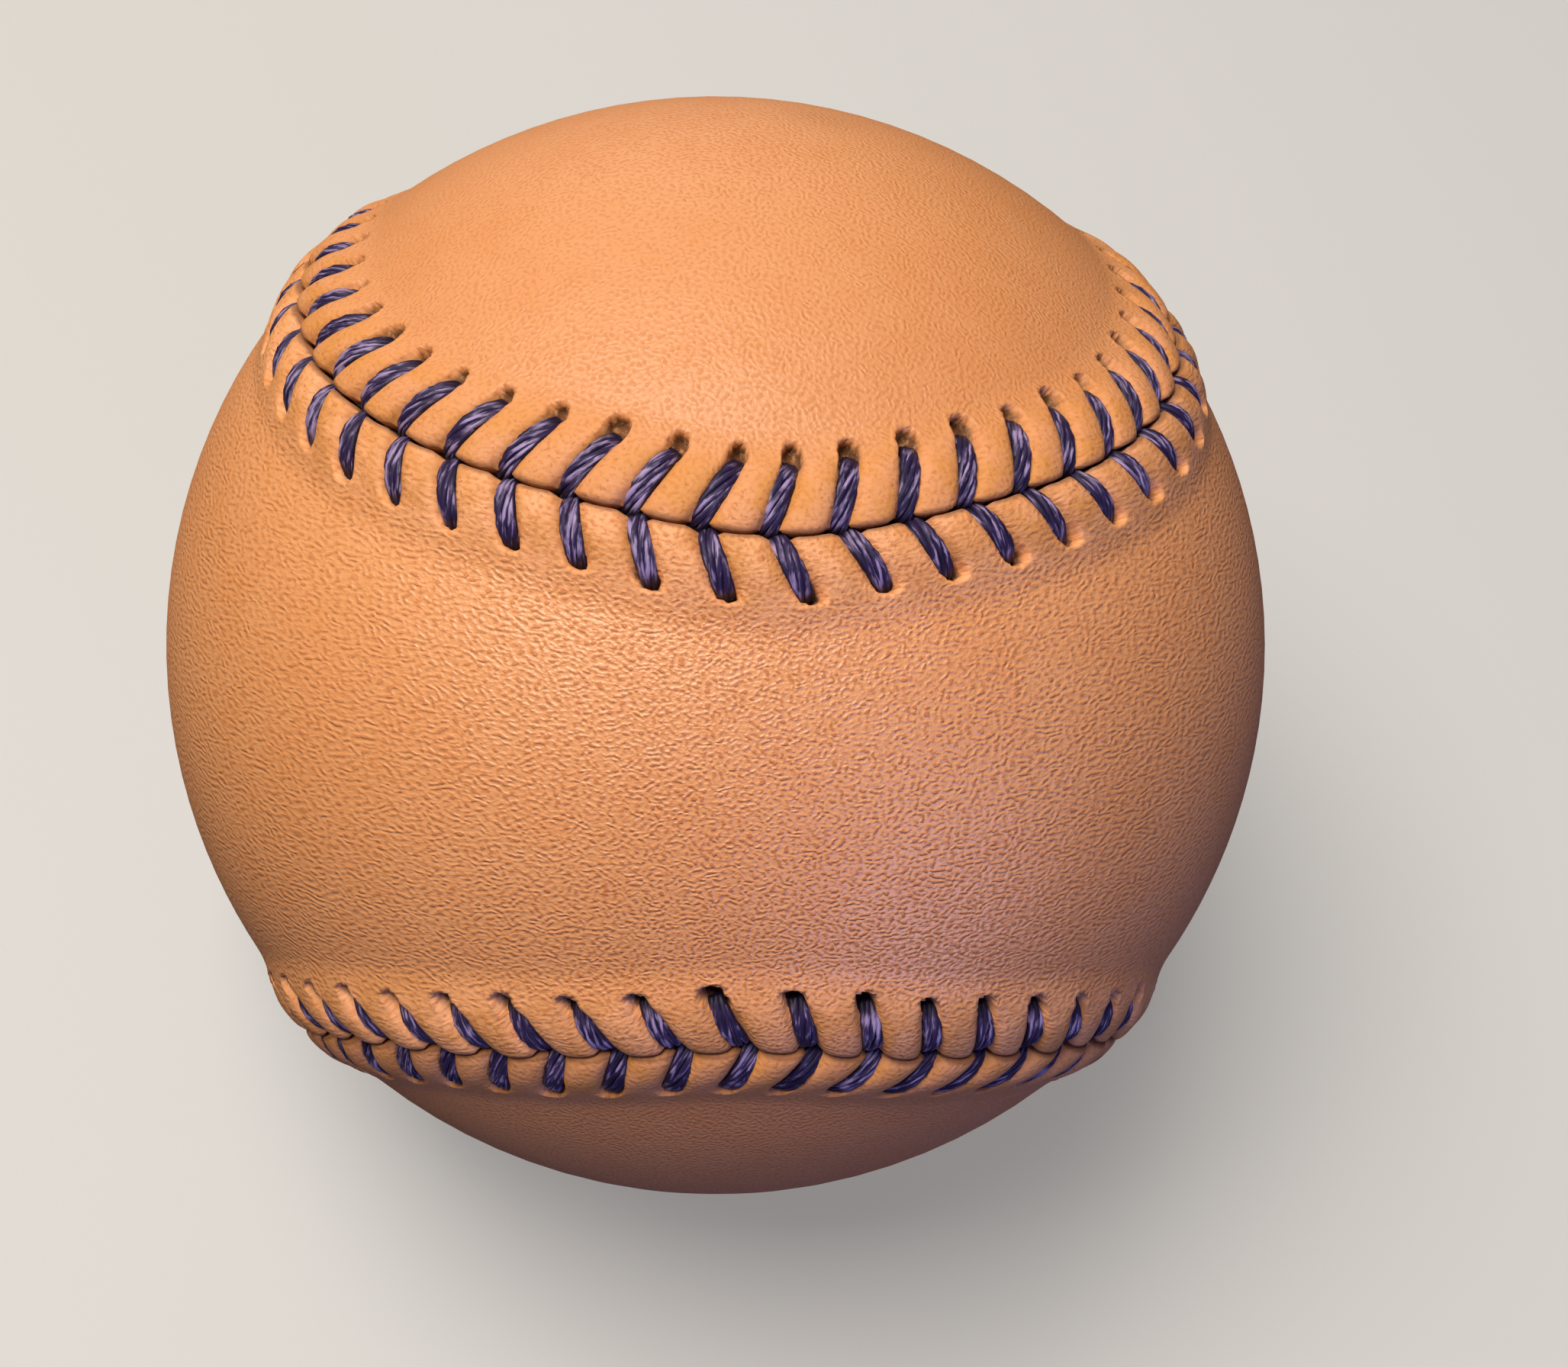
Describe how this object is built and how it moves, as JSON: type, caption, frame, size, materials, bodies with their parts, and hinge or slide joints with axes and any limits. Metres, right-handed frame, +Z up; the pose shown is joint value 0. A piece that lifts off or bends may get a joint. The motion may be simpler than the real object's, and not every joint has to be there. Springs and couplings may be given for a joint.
{
  "type": "baseball",
  "caption": "Leather baseball with a raised, hand-laced figure-eight seam over wound yarn and a cushioned cork centre.",
  "frame": {"origin": "centre of the ball", "axes": "+Z up as the ball lies on the table, -Y towards the viewer of the picture, +X to the right"},
  "size_m": [0.0746, 0.0747, 0.0741],
  "materials": {
    "cork": "granular cork and rubber",
    "black_rubber": "matt moulded",
    "red_rubber": "matt moulded",
    "grey_wool": "wound wool yarn",
    "white_wool": "wound wool yarn",
    "finish_yarn": "fine wound yarn",
    "tan_leather": "vegetable tanned, fine pebbled grain",
    "waxed_thread": "waxed plied thread"
  },
  "bodies": {
    "root": {"cork_core": "cork", "upper_half_shell": "black_rubber", "lower_half_shell": "black_rubber", "shell_washer": "red_rubber", "rubber_cover": "red_rubber", "first_winding": "grey_wool", "second_winding": "white_wool", "third_winding": "grey_wool", "finish_winding": "finish_yarn", "front_panel": "tan_leather", "back_panel": "tan_leather", "front_stitches": "waxed_thread", "back_stitches": "waxed_thread"}
  },
  "joints": []
}
